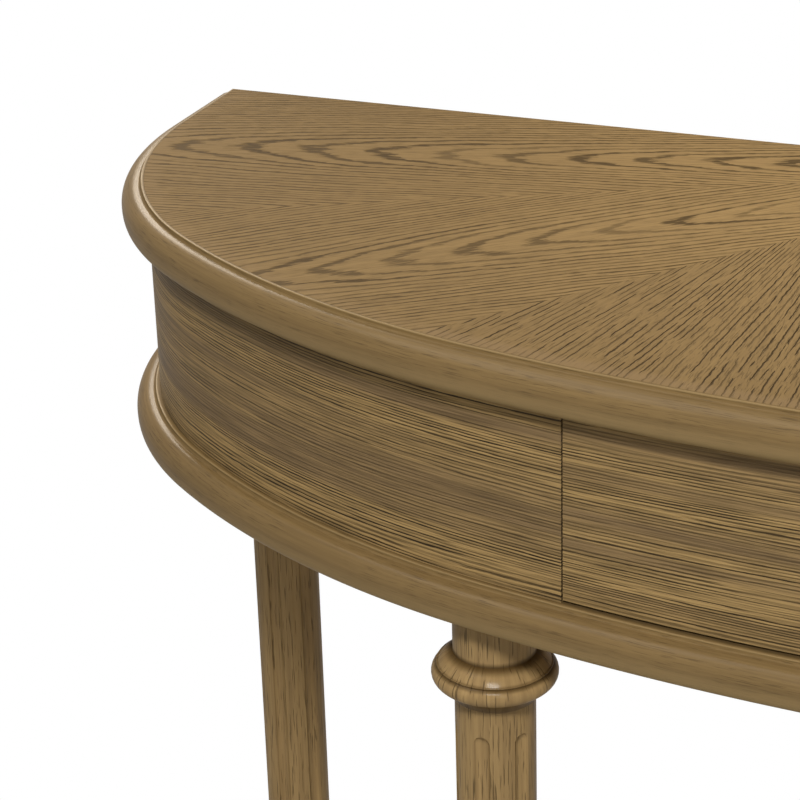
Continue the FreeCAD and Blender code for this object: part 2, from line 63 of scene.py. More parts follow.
def length(name, default, description):
    return FloatProperty(name=name, description=description, default=default, min=0.0, precision=4, unit="LENGTH")


def angle(name, degrees, description):
    return FloatProperty(name=name, description=description, default=math.radians(degrees), subtype="ANGLE")


def share(name, default, description):
    return FloatProperty(name=name, description=description, default=default, min=0.0, max=1.0, subtype="FACTOR")


def power(name, default, description):
    return FloatProperty(name=name, description=description, default=default, min=0.0, subtype="POWER")


def colour(name, default, description):
    return FloatVectorProperty(name=name, description=description, default=default, size=3, min=0.0, max=1.0,
                               subtype="COLOR")


class PlanSizes(bpy.types.PropertyGroup):
    """The D-shaped plan, measured on the apron's outer face."""

    case_width: length("Case width", 1.1864, "Width of the case along the back")
    case_depth: length("Case depth", 0.4147, "Depth of the case at the middle")
    end_straight: length("Straight end", 0.0784, "Straight run from the back before the corner starts")
    corner_turn: angle("Corner turn", 52.6, "How far the outline has turned where the corner ends")
    shoulder_turn: angle("Shoulder turn", 78.0, "How far the outline has turned where the shoulder ends")
    front_to_shoulder: FloatProperty(name="Front to shoulder", description="Front radius over shoulder radius",
                                     default=2.267, min=1.0)


class MouldingSizes(bpy.types.PropertyGroup):
    """Section of the bent mouldings."""

    lip: length("Lip projection", 0.0034, "How far the lip stands out from the apron's face")
    cove: length("Cove width", 0.002, "Width of the cove outside the lip")
    overhang: length("Overhang", 0.0168, "How far the nose stands out from the apron's face")
    nose_drop: length("Nose drop", 0.0028, "How far the nose starts below the lip")
    top_border: length("Top border", 0.002, "Width of the lip's flat top beside the veneer")
    base_ring: length("Base ring", 0.022, "How far the base moulding reaches inside the apron's face")
    rounding: length("Rounding", 0.0005, "Radius of the lip's rubbed edge")
    fullness: FloatProperty(name="Fullness", description="How square the nose's lower half is; 2 is round",
                            default=2.5, min=2.0, max=6.0)


class OakFinish(bpy.types.PropertyGroup):
    """Colours and sheen of the oak."""

    leaf_light: colour("Leaf light", (0.426, 0.275, 0.113), "Light wood of the top's leaves")
    worn: colour("Worn edge", (0.25, 0.165, 0.085), "Wood along the worn edge of the top")
    leaf_dark: colour("Leaf dark", (0.284, 0.182, 0.077), "Dark streaks of the top's leaves")
    pore: colour("Pores", (0.042, 0.025, 0.01), "Stain in the open pores")
    moulding_light: colour("Moulding light", (0.209, 0.134, 0.053), "Light wood of the mouldings")
    moulding_dark: colour("Moulding dark", (0.143, 0.09, 0.035), "Dark streaks of the mouldings")
    apron_light: colour("Apron light", (0.4, 0.262, 0.105), "Golden wood between the apron's bold lines")
    apron_brown: colour("Apron brown", (0.225, 0.147, 0.07), "Brown wood of the apron's quiet zones")
    apron_dark: colour("Apron dark", (0.034, 0.022, 0.011), "Dark lines of the apron and drawer front")
    leg_light: colour("Leg light", (0.4, 0.264, 0.112), "Light wood of the legs")
    leg_dark: colour("Leg dark", (0.248, 0.158, 0.067), "Dark streaks of the legs")
    # Brown colour for glazing in the leg's creases, and for painted shade under the lower bead and along the flutes'
    # edges
    glaze_and_painted_shade: colour("Glaze and painted shade", (0.068, 0.036, 0.01), "Brown glaze left in the creases")
    # Paler colour: wear plus a painted highlight on the lip's edge, and painted light from below on the nose's lower
    # half
    rubbed: colour("Worn wood and painted light", (0.35, 0.242, 0.108), "Paler wood of the lip's edge and the nose's lower half")
    sheen: share("Roughness", 0.6, "Roughness of the flat lacquer on the veneers")


class StudioSettings(bpy.types.PropertyGroup):
    """Camera and light."""

    camera_place: FloatVectorProperty(name="Camera place", description="Where the camera stands",
                                      default=(0.19685, -1.34808, 1.324), subtype="TRANSLATION", precision=4)
    azimuth: angle("Azimuth", 23.12, "Turn of the camera round the table")
    elevation: angle("Elevation", 24.29, "Downward tilt of the camera")
    roll: angle("Roll", -1.73, "Turn of the picture about its middle")
    lens: FloatProperty(name="Lens", description="Focal length on a 36 mm sensor", default=112.09, min=1.0,
                        unit="CAMERA")
    ambient: FloatProperty(name="Ambient", description="Strength of the light from all round", default=0.07, min=0.0)
    overhead: power("Overhead", 15.0, "Power of the overhead softbox")
    back: power("Back", 34.0, "Power of the softbox behind the left end")
    front: power("Front", 46.0, "Power of the high front softbox")
    low: power("Low", 6.2, "Power of the small low softbox at the front right")


# Node helpers

def place(tree, kind, inputs, **settings):
    """Adds a node. Inputs maps a socket's name or number to a value or to another node's output."""
    node = tree.nodes.new(kind)
    for key, value in settings.items():
        setattr(node, key, value)
    for key, value in inputs.items():
        if isinstance(value, bpy.types.NodeSocket):
            tree.links.new(value, node.inputs[key])
        else:
            node.inputs[key].default_value = value
    return node


def calc(tree, operation, a, b=0.0, c=0.0):
    return place(tree, "ShaderNodeMath", {0: a, 1: b, 2: c}, operation=operation).outputs[0]


def complement(tree, value):
    return calc(tree, "SUBTRACT", 1.0, value)


def vector_calc(tree, operation, a, b=(0.0, 0.0, 0.0)):
    """Vector maths, which gives a number for a length, a distance or a dot product."""
    node = place(tree, "ShaderNodeVectorMath", {0: a, 1: b}, operation=operation)
    return node.outputs["Value" if operation in ("LENGTH", "DISTANCE", "DOT_PRODUCT") else "Vector"]


def vector_of(tree, x, y=0.0, z=0.0):
    return place(tree, "ShaderNodeCombineXYZ", {0: x, 1: y, 2: z}).outputs[0]


def parts_of(tree, vector):
    return place(tree, "ShaderNodeSeparateXYZ", {0: vector}).outputs


def remap(tree, value, low, high, start=0.0, end=1.0):
    """Value from low to high becomes start to end, smoothly and clamped."""
    node = place(tree, "ShaderNodeMapRange", {"Value": value, "From Min": low, "From Max": high, "To Min": start,
                                              "To Max": end}, interpolation_type="SMOOTHSTEP")
    return node.outputs[0]


def solid(value):
    """A colour property as a socket's four numbers; a socket stays as it is."""
    return value if isinstance(value, bpy.types.NodeSocket) else (*value, 1.0)


def blend_colours(tree, factor, first, second):
    """Mix node in its colour mode, whose sockets are numbers 0, 6 and 7."""
    return place(tree, "ShaderNodeMix", {0: factor, 6: solid(first), 7: solid(second)}, data_type="RGBA").outputs[2]


def streaks(tree, where, cell, seed, detail=2.0):
    """Noise whose blobs measure about cell, a size in metres along each axis."""
    scaled = vector_calc(tree, "MULTIPLY", where, [1.0 / size for size in cell])
    return place(tree, "ShaderNodeTexNoise", {"Vector": scaled, "W": seed, "Scale": 1.0, "Detail": detail},
                 noise_dimensions="4D").outputs[0]


def drift(tree, where, cell, seed, amount, detail=2.0):
    """Noise centred on zero, in metres."""
    return calc(tree, "MULTIPLY_ADD", streaks(tree, where, cell, seed, detail), amount, -amount / 2)


def position(tree):
    return place(tree, "ShaderNodeTexCoord", {}).outputs["Object"]


def painted(tree, name):
    """A number that a mesh carries on its corners."""
    return place(tree, "ShaderNodeAttribute", {}, attribute_name=name).outputs["Fac"]


def new_material(name):
    material = bpy.data.materials.new(name)
    material.use_nodes = True
    material.node_tree.nodes.clear()
    return material, material.node_tree


def lacquer(tree, base, height, depth, roughness, level=0.012, coat=0.0, gloss=0.2):
    """Lacquer over a wood colour, with the pores' height as relief of the given depth in metres. Level is the flat
    lacquer's shine; coat is the weight of a top coat and gloss its roughness."""
    bump = place(tree, "ShaderNodeBump", {"Height": height, "Distance": depth, "Strength": 1.0})
    shader = place(tree, "ShaderNodeBsdfPrincipled", {
        "Base Color": base, "Roughness": roughness, "Specular IOR Level": level, "Coat Weight": coat,
        "Coat Roughness": gloss, "Coat IOR": 2.0, "Normal": bump.outputs[0]})
    place(tree, "ShaderNodeOutputMaterial", {"Surface": shader.outputs[0]})


def dress(material, *names):
    """Puts a material on CAD nodes."""
    for name in names:
        slots = NODES[name].data.materials
        slots.clear()
        slots.append(material)


# Wood finishes

# Growth rings of a plain-sawn leaf: their spacing, how fast their heart sinks along the leaf, and its depth at the
# middle of the back edge
LEAF_RING = 0.004
LEAF_SLOPE = 0.0885
LEAF_HEART = 0.004

# Strokes of the middle leaf: their spacing, the half width where they run straight, the source of the fan behind
# the back edge, and the radius at which the fan keeps that spacing
FAN_STROKE = 0.0043
FAN_STRAIGHT = 0.105
FAN_SOURCE = 0.054
FAN_RADIUS = 0.4

# Spacing of the apron's lines, and the heights above the base between which the bold lines at its foot fade
APRON_LINE = 0.002
APRON_FOOT = (0.006, 0.03)

# Creases of a leg's collar, darkened with brown glazing and painted shade; the last one, under the lower bead, is
# mostly painted shade: how far below the leg's top, half width of the full darkening, its reach and its strength
COLLAR_CREASES = ((0.0329, 0.0, 0.004, 0.9), (0.0419, 0.0, 0.0024, 0.85), (0.0588, 0.0034, 0.0046, 0.65))

# Radius at which the grain of a leg has its true width, and radius of the flutes' edges, which get a thin line of
# painted shade
LEG_GRAIN_RADIUS = 0.027
FLUTE_EDGE_RADIUS = 0.0239


def ring_lines(tree, ring, seed, width):
    """Dark earlywood at the start of each growth ring, stronger in some rings than in others."""
    number = calc(tree, "FLOOR", ring)
    strength = place(tree, "ShaderNodeTexWhiteNoise", {"W": calc(tree, "ADD", number, seed)},
                     noise_dimensions="1D").outputs["Value"]
    part = calc(tree, "FRACT", ring)
    line = calc(tree, "MULTIPLY", remap(tree, part, 0.0, 0.1), remap(tree, part, width * 0.6, width, 1.0, 0.0))
    return calc(tree, "MULTIPLY", line, remap(tree, strength, 0.0, 0.7, 0.6, 1.0))


def jagged(tree, ring, grain, cell, seed, amount):
    """Roughens a ring coordinate, so that its lines have the torn edges of open pores."""
    return calc(tree, "MULTIPLY_ADD", streaks(tree, grain, cell, seed), amount, ring)


def with_flecks(tree, dark, grain, cell, seed):
    """Adds faint short pores between the dark lines."""
    return calc(tree, "MAXIMUM", dark, remap(tree, streaks(tree, grain, cell, seed), 0.54, 0.66, 0.0, 0.34))


def leaf_wood(tree, tone, oak):
    """Colour of a leaf between its pores, deeper towards the outer edge."""
    away = vector_calc(tree, "DISTANCE", position(tree), (0.0, TOP_HIGH.y, TOP_HIGH.z))
    wood = blend_colours(tree, tone, oak.leaf_light, oak.leaf_dark)
    # Painted shade: darker the farther from the middle of the back edge
    return blend_colours(tree, remap(tree, away, 0.1, 0.55, 0.0, 0.42), wood, oak.pore)


def rim_wear(tree, arc, amount, wood, dark, oak):
    """Plain wood with closed pores in a narrow band along the leaf's outer edge, which lies on an arc of the plan."""
    centre, radius, _, _ = arc
    away = vector_calc(tree, "DISTANCE", position(tree), (centre.x, centre.y, TOP_HIGH.z))
    ragged = calc(tree, "MULTIPLY", streaks(tree, position(tree), (0.02, 0.02, 0.02), 5.0), 0.008)
    inward = calc(tree, "ADD", calc(tree, "SUBTRACT", radius, away), ragged)
    worn = remap(tree, inward, 0.008, 0.017, amount, 0.0)
    dark = calc(tree, "MULTIPLY", dark, complement(tree, worn))
    return blend_colours(tree, worn, wood, oak.worn), dark


def leaf_finish(name, grain_angle, seed, oak, arc):
    """Plain-sawn leaf of the top: arches along the grain whose tips point outwards."""
    material, tree = new_material(name)
    out = toward(grain_angle)
    across = Vector((out.y, -out.x, 0.0))
    local = vector_calc(tree, "SUBTRACT", position(tree), (0.0, TOP_HIGH.y, 0.0))
    along = vector_calc(tree, "DOT_PRODUCT", local, out)
    side = vector_calc(tree, "DOT_PRODUCT", local, across)
    grain = vector_of(tree, along, side)
    wander = drift(tree, grain, (0.22, 0.06, 1.0), seed, 0.024)
    ripple = drift(tree, grain, (0.04, 0.006, 1.0), seed + 1.0, 0.0034)
    cone = calc(tree, "ADD", calc(tree, "MULTIPLY_ADD", along, LEAF_SLOPE, LEAF_HEART), ripple)
    reach = vector_calc(tree, "LENGTH", vector_of(tree, calc(tree, "ADD", side, wander), cone))
    ring = calc(tree, "DIVIDE", reach, LEAF_RING)
    ring = jagged(tree, ring, grain, (0.009, 0.0013, 1.0), seed + 5.0, 0.46)
    early = ring_lines(tree, ring, seed, 0.43)
    pores = remap(tree, streaks(tree, grain, (0.02, 0.0018, 1.0), seed + 2.0), 0.36, 0.46, 0.3, 1.0)
    dark = with_flecks(tree, calc(tree, "MULTIPLY", early, pores), grain, (0.014, 0.0009, 1.0), seed + 6.0)
    fine = remap(tree, streaks(tree, grain, (0.05, 0.0022, 1.0), seed + 3.0, 3.0), 0.3, 0.7)
    broad = streaks(tree, grain, (0.3, 0.04, 1.0), seed + 4.0)
    tone = calc(tree, "MULTIPLY_ADD", fine, 0.6, calc(tree, "MULTIPLY", broad, 0.4))
    wood, dark = rim_wear(tree, arc, 0.18, leaf_wood(tree, tone, oak), dark, oak)
    wood = blend_colours(tree, calc(tree, "MULTIPLY", dark, 0.8), wood, oak.pore)
    lacquer(tree, wood, complement(tree, dark), depth=0.0004, roughness=oak.sheen)
    return material


def fan_finish(name, seed, oak, arc):
    """Middle leaf: open pores in strokes, straight in the middle and fanning out to both sides."""
    material, tree = new_material(name)
    local = vector_calc(tree, "SUBTRACT", position(tree), (0.0, TOP_HIGH.y + FAN_SOURCE, 0.0))
    x, y, _ = parts_of(tree, local)
    straight = calc(tree, "MINIMUM", calc(tree, "MAXIMUM", x, -FAN_STRAIGHT), FAN_STRAIGHT)
    beyond = calc(tree, "SUBTRACT", x, straight)
    along = vector_calc(tree, "LENGTH", vector_of(tree, beyond, y))
    turn = calc(tree, "ARCTAN2", beyond, calc(tree, "MULTIPLY", y, -1.0))
    side = calc(tree, "MULTIPLY_ADD", turn, FAN_RADIUS, straight)
    grain = vector_of(tree, along, side)
    wander = drift(tree, grain, (0.12, 0.03, 1.0), seed, 0.01)
    ring = calc(tree, "DIVIDE", calc(tree, "ADD", side, wander), FAN_STROKE)
    ring = jagged(tree, ring, grain, (0.006, FAN_STROKE, 1.0), seed + 4.0, 0.45)
    early = ring_lines(tree, ring, seed, 0.31)
    breaks = remap(tree, streaks(tree, grain, (0.036, FAN_STROKE, 1.0), seed + 1.0), 0.44, 0.48)
    dark = with_flecks(tree, calc(tree, "MULTIPLY", early, breaks), grain, (0.01, 0.0009, 1.0), seed + 5.0)
    fine = remap(tree, streaks(tree, grain, (0.04, 0.0012, 1.0), seed + 2.0, 3.0), 0.3, 0.7)
    broad = streaks(tree, grain, (0.2, 0.03, 1.0), seed + 3.0)
    tone = calc(tree, "MULTIPLY_ADD", fine, 0.4, calc(tree, "MULTIPLY_ADD", broad, 0.45, 0.3))
    wood, dark = rim_wear(tree, arc, 0.45, leaf_wood(tree, tone, oak), dark, oak)
    wood = blend_colours(tree, calc(tree, "MULTIPLY", dark, 0.92), wood, oak.pore)
    lacquer(tree, wood, complement(tree, dark), depth=0.0007, roughness=oak.sheen)
    return material


def moulding_finish(name, seed, oak):
    """Bent solid oak with its grain along the length. The mesh says where it is creased and dark, where rubbed and
    pale, and where its top coat is dull."""
    material, tree = new_material(name)
    grain = place(tree, "ShaderNodeUVMap", {}, uv_map="grain").outputs[0]
    fine = remap(tree, streaks(tree, grain, (0.06, 0.0016, 1.0), seed, 3.0), 0.3, 0.7)
    broad = remap(tree, streaks(tree, grain, (0.11, 0.007, 1.0), seed + 1.0), 0.35, 0.65)
    pores = remap(tree, streaks(tree, grain, (0.016, 0.0006, 1.0), seed + 2.0), 0.54, 0.64)
    patches = remap(tree, streaks(tree, grain, (0.1, 0.01, 1.0), seed + 3.0), 0.36, 0.52)
    dark = calc(tree, "MULTIPLY", pores, patches)
    tone = calc(tree, "MULTIPLY_ADD", fine, 0.55, calc(tree, "MULTIPLY_ADD", broad, 0.25, 0.05))
    wood = blend_colours(tree, tone, oak.moulding_light, oak.moulding_dark)
    wood = blend_colours(tree, calc(tree, "MULTIPLY", dark, 0.42), wood, oak.pore)
    wood = blend_colours(tree, calc(tree, "MULTIPLY", painted(tree, "creased"), 0.5), wood, oak.pore)
    # Painted highlight on the lip's edge, partly wear, and painted light from below on the nose's lower half
    wood = blend_colours(tree, calc(tree, "MULTIPLY", painted(tree, "rubbed"), 0.9), wood, oak.rubbed)
    coat = calc(tree, "MULTIPLY", complement(tree, painted(tree, "dull")), 0.09)
    lacquer(tree, wood, complement(tree, dark), depth=0.00002, roughness=0.45, coat=coat, gloss=0.245)
    return material


def apron_finish(name, seed, oak):
    """Straight-grained veneer: long thin dark lines, bold in some zones and quiet in others. Faces that lie flat
    have plain edging."""
    material, tree = new_material(name)
    where = position(tree)
    x, y, z = parts_of(tree, where)
    level = calc(tree, "ADD", z, drift(tree, where, (0.7, 0.7, 0.12), seed, 0.014))
    grain = vector_of(tree, x, y, level)
    crowd = drift(tree, grain, (1.2, 1.2, 0.022), seed + 1.0, 0.013, 1.0)
    ring = calc(tree, "DIVIDE", calc(tree, "ADD", level, crowd), APRON_LINE)
    ring = jagged(tree, ring, grain, (0.02, 0.02, 0.0014), seed + 5.0, 0.65)
    taper = remap(tree, streaks(tree, grain, (0.08, 0.08, 0.0019), seed + 2.0, 1.0), 0.34, 0.5)
    bold = remap(tree, streaks(tree, grain, (0.7, 0.7, 0.015), seed + 3.0), 0.36, 0.6)
    foot = remap(tree, z, *[BASE_HIGH.z + rise for rise in APRON_FOOT], 0.85, 0.0)
    bold = calc(tree, "MAXIMUM", bold, foot)
    lines = calc(tree, "MULTIPLY", ring_lines(tree, ring, seed, 0.54), taper)
    lines = calc(tree, "MULTIPLY", lines, calc(tree, "MULTIPLY_ADD", bold, 0.55, 0.45))
    fine = remap(tree, streaks(tree, grain, (0.05, 0.05, 0.0008), seed + 4.0), 0.4, 0.6, 0.0, 0.4)
    normal = place(tree, "ShaderNodeNewGeometry", {}).outputs["Normal"]
    tilt = calc(tree, "ABSOLUTE", vector_calc(tree, "DOT_PRODUCT", normal, (0.0, 0.0, 1.0)))
    upright = remap(tree, tilt, 0.5, 0.8, 1.0, 0.0)
    lines = calc(tree, "MULTIPLY", lines, upright)
    wood = blend_colours(tree, calc(tree, "MULTIPLY", bold, upright), oak.apron_brown, oak.apron_light)
    wood = blend_colours(tree, calc(tree, "MULTIPLY", fine, upright), wood, oak.apron_dark)
    edging = remap(tree, streaks(tree, where, (0.05, 0.0014, 0.0014), seed + 6.0, 3.0), 0.35, 0.65, 0.55, 0.0)
    edging = calc(tree, "MULTIPLY", edging, complement(tree, upright))
    wood = blend_colours(tree, edging, wood, oak.moulding_dark)
    wood = blend_colours(tree, lines, wood, oak.apron_dark)
    lacquer(tree, wood, complement(tree, lines), depth=0.0003, roughness=oak.sheen, level=0.08)
    return material


def leg_finish(name, node, seed, oak):
    """Turned oak: pores that run down the leg and over its beads, with glaze in the creases and flute edges."""
    material, tree = new_material(name)
    low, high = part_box(node)
    axis = (low + high) / 2
    local = vector_calc(tree, "SUBTRACT", position(tree), (axis.x, axis.y, high.z))
    x, y, level = parts_of(tree, local)
    flat = vector_of(tree, x, y)
    radius = vector_calc(tree, "LENGTH", flat)
    turned_x, turned_y, _ = parts_of(tree, vector_calc(tree, "NORMALIZE", flat))
    run = calc(tree, "SUBTRACT", level, radius)
    grain = vector_of(tree, calc(tree, "MULTIPLY", turned_x, LEG_GRAIN_RADIUS),
                      calc(tree, "MULTIPLY", turned_y, LEG_GRAIN_RADIUS), run)
    fine = remap(tree, streaks(tree, grain, (0.0022, 0.0022, 0.06), seed, 3.0), 0.3, 0.7)
    broad = remap(tree, streaks(tree, grain, (0.012, 0.012, 0.2), seed + 1.0), 0.35, 0.65)
    pores = remap(tree, streaks(tree, grain, (0.0009, 0.0009, 0.026), seed + 2.0), 0.59, 0.66)
    tone = calc(tree, "MULTIPLY_ADD", fine, 0.45, calc(tree, "MULTIPLY", broad, 0.35))
    wood = blend_colours(tree, tone, oak.leg_light, oak.leg_dark)
    wood = blend_colours(tree, calc(tree, "MULTIPLY", pores, 0.58), wood, oak.pore)
    # Brown glazing and painted shade in the collar's creases
    for below, full, reach, strength in COLLAR_CREASES:
        gap = calc(tree, "ABSOLUTE", calc(tree, "ADD", level, below))
        wood = blend_colours(tree, remap(tree, gap, full, reach, strength, 0.0), wood, oak.glaze_and_painted_shade)
    # Painted shade along the flutes' edges
    edge = calc(tree, "ABSOLUTE", calc(tree, "SUBTRACT", radius, FLUTE_EDGE_RADIUS))
    wood = blend_colours(tree, remap(tree, edge, 0.0002, 0.0006, 0.22, 0.0), wood, oak.glaze_and_painted_shade)
    lacquer(tree, wood, complement(tree, pores), depth=0.0003, roughness=0.4, coat=0.045, gloss=0.16)
    return material


def plain_wood(name, light, dark, vessel, cell, seed, roughness):
    """Inner boards: broad bands, fine streaks and short vessel lines in one direction."""
    material, tree = new_material(name)
    where = position(tree)
    fine = remap(tree, streaks(tree, where, cell, seed, 3.0), 0.3, 0.7)
    broad = remap(tree, streaks(tree, where, [size * 6.0 for size in cell], seed + 1.0), 0.35, 0.65)
    short = remap(tree, streaks(tree, where, [size * 0.35 for size in cell], seed + 2.0), 0.56, 0.64)
    tone = calc(tree, "MULTIPLY_ADD", fine, 0.5, calc(tree, "MULTIPLY", broad, 0.45))
    wood = blend_colours(tree, tone, light, dark)
    wood = blend_colours(tree, calc(tree, "MULTIPLY", short, 0.55), wood, vessel)
    lacquer(tree, wood, complement(tree, short), depth=0.0001, roughness=roughness, level=0.2)
    return material


def zinc_finish():
    """Zinc-plated steel: faint spangle and drawing lines."""
    material, tree = new_material("zinc_plate")
    where = position(tree)
    spangle = streaks(tree, where, (0.004, 0.004, 0.004), 3.0, 4.0)
    drawn = streaks(tree, where, (0.0004, 0.05, 0.0004), 5.0)
    roughness = remap(tree, calc(tree, "ADD", spangle, drawn), 0.6, 1.4, 0.26, 0.46)
    metal = blend_colours(tree, spangle, (0.5, 0.51, 0.53), (0.66, 0.66, 0.65))
    bump = place(tree, "ShaderNodeBump", {"Height": drawn, "Distance": 0.00002})
    shader = place(tree, "ShaderNodeBsdfPrincipled", {"Base Color": metal, "Metallic": 1.0, "Roughness": roughness,
                                                      "Normal": bump.outputs[0]})
    place(tree, "ShaderNodeOutputMaterial", {"Surface": shader.outputs[0]})
    return material


def nylon_finish():
    """Dark moulded nylon with a fine spark texture."""
    material, tree = new_material("moulded_nylon")
    grit = streaks(tree, position(tree), (0.0005, 0.0005, 0.0005), 7.0)
    tint = blend_colours(tree, grit, (0.02, 0.019, 0.018), (0.04, 0.038, 0.036))
    lacquer(tree, tint, grit, depth=0.00004, roughness=0.55, level=0.4)
    return material


# Bent mouldings

STATION_STEP = 0.004
SHARP_EDGE = math.radians(40.0)
# How much the grain is squeezed across the sawn ends
END_GRAIN = 0.3

# A point of the section: offset from the apron's face, level against the top, how pale it is with wear and painted
# light, how dull and how creased it is
SectionPoint = namedtuple("SectionPoint", "offset level rubbed dull creased", defaults=(0.0, 0.0, 0.0))


def toward(turn):
    """Outward direction where the outline has turned this far from the left end."""
    return Vector((-math.cos(turn), -math.sin(turn), 0.0))


def closing_radii(plan):
    """Corner and shoulder radii that bring the half outline to its width and depth."""
    corner_x = 1 - math.cos(plan.corner_turn)
    corner_y = math.sin(plan.corner_turn)
    rest_x = math.cos(plan.corner_turn) + (plan.front_to_shoulder - 1) * math.cos(plan.shoulder_turn)
    rest_y = math.sin(plan.shoulder_turn) - corner_y + plan.front_to_shoulder * (1 - math.sin(plan.shoulder_turn))
    depth = plan.case_depth - plan.end_straight
    half = plan.case_width / 2
    scale = corner_x * rest_y - rest_x * corner_y
    return (half * rest_y - rest_x * depth) / scale, (corner_x * depth - corner_y * half) / scale


def plan_arcs(plan):
    """Corner, shoulder and front arc of the outline's left half: centre, radius, first and last turn."""
    corner, shoulder = closing_radii(plan)
    front = shoulder * plan.front_to_shoulder
    corner_centre = Vector((corner - plan.case_width / 2, TOP_HIGH.y - plan.end_straight, 0.0))
    shoulder_centre = corner_centre + toward(plan.corner_turn) * (corner - shoulder)
    front_centre = Vector((0.0, TOP_HIGH.y + front - plan.case_depth, 0.0))
    return ((corner_centre, corner, 0.0, plan.corner_turn),
            (shoulder_centre, shoulder, plan.corner_turn, plan.shoulder_turn),
            (front_centre, front, plan.shoulder_turn, math.pi / 2))


def plan_stations(plan):
    """Points of the apron's outline from the back left to the back right, each with its outward direction."""
    stations = [(Vector((-plan.case_width / 2, TOP_HIGH.y, 0.0)), toward(0.0))]
    for centre, radius, start, end in plan_arcs(plan):
        count = max(2, math.ceil((end - start) * radius / STATION_STEP))
        turns = [start + (end - start) * number / count for number in range(count)]
        stations += [(centre + toward(turn) * radius, toward(turn)) for turn in turns]
    middle = [(Vector((0.0, TOP_HIGH.y - plan.case_depth, 0.0)), toward(math.pi / 2))]
    right = [(point * FLIP, out * FLIP) for point, out in reversed(stations)]
    return stations + middle + right


def arc_points(centre, radius, start, end, count):
    """Points (offset, level) on an arc between two angles in degrees."""
    turns = [math.radians(start + (end - start) * number / count) for number in range(count + 1)]
    return [(centre[0] + radius * math.cos(turn), centre[1] + radius * math.sin(turn)) for turn in turns]


def swell(part, radius, fullness):
    """Moves a circle's coordinate out to the squarer curve of that fullness."""
    return math.copysign(radius * (abs(part) / radius) ** (2 / fullness), part)


def moulding_section(sizes, inner, height):
    """Section from the inside foot up over the lip, down its cove and round the nose, below a top at level 0."""
    rounding = sizes.rounding
    section = [SectionPoint(inner, -height, dull=1.0), SectionPoint(inner, 0.0, dull=1.0)]
    if inner < 0:
        # Darker along the inner corner where the base moulding meets the apron's face
        section.append(SectionPoint(0.0, 0.0, dull=1.0, creased=1.0))
    section.append(SectionPoint(sizes.lip - 3 * rounding, 0.0, dull=1.0))
    for offset, level in arc_points((sizes.lip - rounding, -rounding), rounding, 90.0, 0.0, 4):
        # The lip's rounded edge: partly worn, partly a painted highlight
        section.append(SectionPoint(offset, level, rubbed=0.5, dull=0.3))
    for degrees in range(10, 100, 10):
        turn = math.radians(degrees)
        section.append(SectionPoint(sizes.lip + sizes.cove * (1 - math.cos(turn)),
                                    -rounding - (sizes.nose_drop - rounding) * math.sin(turn),
                                    dull=math.cos(turn)))
    foot = sizes.lip + sizes.cove
    nose = (height - sizes.nose_drop) / 2
    reach = (sizes.overhang - foot) / nose
    for out, up in arc_points((0.0, 0.0), nose, 90.0, -90.0, 40)[1:]:
        if up < 0:
            out, up = swell(out, nose, sizes.fullness), swell(up, nose, sizes.fullness)
        # The nose's lower half is paler with painted light from below, and its top coat is dull
        under = min(1.0, max(0.0, -up / nose * 1.2 + 0.15))
        section.append(SectionPoint(foot + out * reach, up - nose - sizes.nose_drop, rubbed=under, dull=under))
    return section


def moulding_mesh(name, stations, section, top):
    """Sweeps a section along the plan. The UV map follows the grain, and the corners carry the section's marks."""
    runs = list(accumulate(((b - a).length for (a, _), (b, _) in zip(stations, stations[1:])), initial=0.0))
    loop = section + section[:1]
    girths = list(accumulate((math.dist(a[:2], b[:2]) for a, b in zip(loop, loop[1:])), initial=0.0))
    width = len(section)
    vertices = [point + out * mark.offset + Vector((0.0, 0.0, top + mark.level))
                for point, out in stations for mark in section]
    faces, places, marks = [], [], []
    for row in range(len(stations) - 1):
        here, there = row * width, (row + 1) * width
        for column in range(width):
            after = (column + 1) % width
            faces.append((here + column, here + after, there + after, there + column))
            places += [(runs[row], girths[column]), (runs[row], girths[column + 1]),
                       (runs[row + 1], girths[column + 1]), (runs[row + 1], girths[column])]
            marks += [section[column], section[after], section[after], section[column]]
    last = (len(stations) - 1) * width
    faces += [tuple(reversed(range(width))), tuple(range(last, last + width))]
    ends = [(mark.offset * END_GRAIN, mark.level) for mark in section]
    places += list(reversed(ends)) + ends
    marks += [SectionPoint(0.0, 0.0)] * (2 * width)
    mesh = bpy.data.meshes.new(name)
    mesh.from_pydata(vertices, [], faces)
    grain = mesh.uv_layers.new(name="grain")
    for corner, uv in zip(grain.data, places):
        corner.uv = uv
    for key in ("rubbed", "dull", "creased"):
        attribute = mesh.attributes.new(key, "FLOAT", "CORNER")
        attribute.data.foreach_set("value", [getattr(mark, key) for mark in marks])
    mesh.shade_smooth()
    mesh.set_sharp_from_angle(angle=SHARP_EDGE)
    return mesh


def bend_moulding(name, node, stations, section, top, material):
    """Stands a bent moulding in for a CAD node."""
    mesh = moulding_mesh(name, stations, section, top)
    mesh.materials.append(material)
    piece = bpy.data.objects.new(name, mesh)
    bpy.context.scene.collection.objects.link(piece)
    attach(piece, "table")
    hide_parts(node)


# Studio

FLOOR_REACH = 9.0
FLOOR_PAINT = (0.55, 0.55, 0.55)
# Distances on the floor are scaled along each axis, so that the shadow fades in an oval between two of them
SHADOW_SCALE = (0.75, 1.8, 1.0)
SHADOW_FADE = (0.3, 0.8)
SENSOR_WIDTH = 36.0

